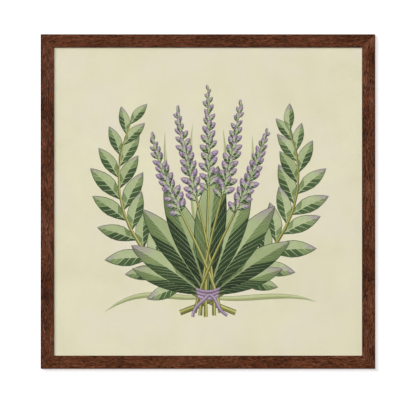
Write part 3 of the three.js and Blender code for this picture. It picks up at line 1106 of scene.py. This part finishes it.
TIE_INKS = {
    CONTOUR: ink("tie_contour", (76, 58, 78), (92, 74, 92), (108, 90, 106)),
    DEEP: ink("tie_shade", (122, 98, 126), (138, 114, 140), (152, 130, 152)),
    LIGHT: ink("tie_light", (170, 146, 170), (184, 162, 184), (196, 178, 194)),
}
BLADE_INKS = {
    CONTOUR: ink("blade_contour", (112, 116, 80), (130, 134, 94), (148, 150, 110)),
    DEEP: ink("blade_shade", (150, 156, 100), (166, 170, 114), (178, 182, 128), hatch=0.4),
    LIGHT: ink("blade_light", (190, 194, 142), (202, 206, 156), (212, 214, 170)),
}

SPRIG = sprig_tree()
FAN = fan_tree()
STRIP = strip_tree()
BROAD_LEAF = blank("broad_leaf_blank", BROAD_SHAPE, 15, broad_facet)
LEAF = blank("leaf_blank", LEAF_SHAPE, 6, leaf_facet)
FLORET = blank("floret_blank", FLORET_SHAPE, 3, floret_facet)
branch_routes = route_curve("branch_routes", BRANCHES)
spike_routes = route_curve("spike_routes", SPIKES)
blade_routes = route_curve("blade_routes", BLADES)
tie_routes = route_curve("tie_routes", TIES)

for kind, finish in LEAF_INKS.items():
    leaves = grown(branch_routes, SPRIG, {
        "Blank": LEAF, "Count": 18, "First": 0.24, "Last": 1.0, "Base Length": 58 * MM,
        "Tip Length": 40 * MM, "Swell": 12 * MM, "Base Spread": 0.82, "Tip Spread": 0.3,
        "Unevenness": 0.12, "Depth": LEAF_DEPTH, "Seed": 7, "Ink": kind, "Finish": finish,
    })
    ink_layer("print_leaf_" + INK_NAMES[kind], [leaves])

for kind, finish in BROAD_INKS.items():
    broad = grown(route_curve("root", []), FAN, {
        "Blank": BROAD_LEAF, "Count": 9, "Root": (SHEET_CENTRE.x, 0.0, SHEET_CENTRE.z - FAN_ROOT),
        "Sweep": 2.25, "Middle Length": 196 * MM, "Edge Length": 118 * MM, "Unevenness": 0.04,
        "Depth": BROAD_DEPTH, "Seed": 12, "Ink": kind, "Finish": finish,
    })
    ink_layer("print_broad_leaf_" + INK_NAMES[kind], [broad])

for kind, finish in FLORET_INKS.items():
    sides = grown(spike_routes, SPRIG, {
        "Blank": FLORET, "Count": 22, "First": 0.56, "Last": 0.985, "Base Length": 19 * MM,
        "Tip Length": 9 * MM, "Swell": 4 * MM, "Base Spread": 0.72, "Tip Spread": 0.4,
        "Unevenness": 0.16, "Depth": SIDE_FLORET_DEPTH, "Seed": 3, "Ink": kind, "Finish": finish,
    })
    middles = grown(spike_routes, SPRIG, {
        "Blank": FLORET, "Count": 13, "First": 0.58, "Last": 1.0, "Base Length": 17 * MM,
        "Tip Length": 10 * MM, "Swell": 3 * MM, "Base Spread": 0.16, "Tip Spread": 0.05,
        "Unevenness": 0.2, "Depth": FLORET_DEPTH, "Seed": 5, "Ink": kind, "Finish": finish,
    })
    ink_layer("print_floret_" + INK_NAMES[kind], [sides, middles])


def strips(routes, inks, depth, line, split, sizes):
    """Meshes by ink: a contour on both edges, from the share line of the half width outwards, and the
    shaded and the light part between them, which meet at the share split."""
    spans = {CONTOUR: [(-1.0, -line), (line, 1.0)], DEEP: [(split, line)], LIGHT: [(-line, split)]}
    return {
        kind: [
            grown(routes, STRIP, {**sizes, "From": low, "To": high, "Depth": depth, "Finish": inks[kind]})
            for low, high in sides
        ]
        for kind, sides in spans.items()
    }


blades = strips(blade_routes, BLADE_INKS, BLADE_DEPTH, 0.86, 0.1, {
    "Base Width": 2 * MM, "Tip Width": 0.4 * MM, "Swell": 7 * MM, "Steps": 48, "Seed": 2,
})
branch_stems = strips(branch_routes, STEM_INKS, BRANCH_DEPTH, 0.74, 0.0, {
    "Base Width": 8 * MM, "Tip Width": 1.8 * MM, "Steps": 64, "Seed": 4,
})
spike_stems = strips(spike_routes, STEM_INKS, SPIKE_DEPTH, 0.7, 0.0, {
    "Base Width": 5.6 * MM, "Tip Width": 1.6 * MM, "Last": 0.96, "Steps": 48, "Seed": 6,
})
ties = strips(tie_routes, TIE_INKS, TIE_DEPTH, 0.8, 0.1, {
    "Base Width": 5.6 * MM, "Tip Width": 4.2 * MM, "Steps": 20, "Seed": 8,
})
for kind in (CONTOUR, DEEP, LIGHT):
    ink_layer("print_blade_" + INK_NAMES[kind], blades[kind])
    ink_layer("print_stem_" + INK_NAMES[kind], branch_stems[kind] + spike_stems[kind])
    ink_layer("print_tie_" + INK_NAMES[kind], ties[kind])

# ================================================================ stage
WALL_HALF = 1.4
WALL_GLOW = 0.57
WALL_SHADE = (0.985, 0.985, 0.985, 1.0)  # where it is least white
SKY_LIGHT = 0.08  # what the surroundings give the room, of the white that the camera sees


def white_wall():
    """Pale board that is seen from its front alone, and never stands in a lamp's way."""
    made, shader = material(
        "wall_white", Roughness=0.9, Specular_IOR_Level=0.1, Emission_Color=WHITE, Emission_Strength=WALL_GLOW
    )
    tree = shader.id_data
    shade = noise(place_on(shader), 3.0, 2.0)
    plug(shader, {"Base Color": mixed(shade, WHITE, WALL_SHADE)})
    behind = add(tree, "ShaderNodeNewGeometry")["Backfacing"]
    either = maths("MAXIMUM", behind, add(tree, "ShaderNodeLightPath")["Is Shadow Ray"])
    clear = add(tree, "ShaderNodeBsdfTransparent")[0]
    both = add(tree, "ShaderNodeMixShader", {0: either, 1: Value(shader.outputs[0]), 2: clear})[0]
    plug(tree.nodes["Material Output"], {"Surface": both})
    return made


corners = [(x * WALL_HALF, 0, CENTRE.z + z * WALL_HALF) for x, z in ((-1, -1), (1, -1), (1, 1), (-1, 1))]
board = bpy.data.meshes.new("wall")
board.from_pydata(corners, [], [(0, 1, 2, 3)])
board.materials.append(white_wall())
in_scene(bpy.data.objects.new("wall", board))


def lamp(name, place, size, power):
    """A square soft light aimed at the picture's middle."""
    data = bpy.data.lights.new(name, "AREA")
    data.size = size
    data.energy = power
    made = in_scene(bpy.data.objects.new(name, data))
    made.location = place
    made.rotation_euler = (CENTRE - Vector(place)).to_track_quat("-Z", "Y").to_euler()


lamp("key", (-6.0, -10.4, 3.6), 3.2, 400.0)
lamp("side_fill", (-3.2, -13.0, 1.8), 2.0, 420.0)
lamp("far_fill", (-2.7, -15.0, 2.5), 0.8, 600.0)
lamp("front_fill", (-1.0, -15.0, 0.65), 0.4, 440.0)
lamp("back_left", (-1.4, 2.4, 1.1), 1.2, 38.0)
lamp("back_right", (1.6, 2.6, 0.4), 1.2, 38.0)

world = bpy.data.worlds.new("studio")
bpy.context.scene.world = world
world.use_nodes = True
seen = add(world.node_tree, "ShaderNodeLightPath")["Is Camera Ray"]
strength = SKY_LIGHT + seen * (1.0 - SKY_LIGHT)
plug(world.node_tree.nodes["Background"], {"Color": WHITE, "Strength": strength})
bpy.context.scene.view_settings.view_transform = "Standard"

# ---- camera: square on, from far away, so that the sides stay hidden ----
IMAGE_WIDTH = 416
FRAME_PIXELS = 334.75  # the frame's side in the image
AIM_RIGHT = 0.2 * MM
CAMERA_DISTANCE = 12.0
camera_data = bpy.data.cameras.new("camera")
camera_data.sensor_width = 36.0
view_width = 2 * HALF_SIDE * IMAGE_WIDTH / FRAME_PIXELS
camera_data.lens = camera_data.sensor_width * CAMERA_DISTANCE / view_width
camera = in_scene(bpy.data.objects.new("camera", camera_data))
camera.location = (CENTRE.x + AIM_RIGHT, FRONT_Y - CAMERA_DISTANCE, CENTRE.z)
camera.rotation_euler = (QUARTER_TURN, 0, 0)
bpy.context.scene.camera = camera
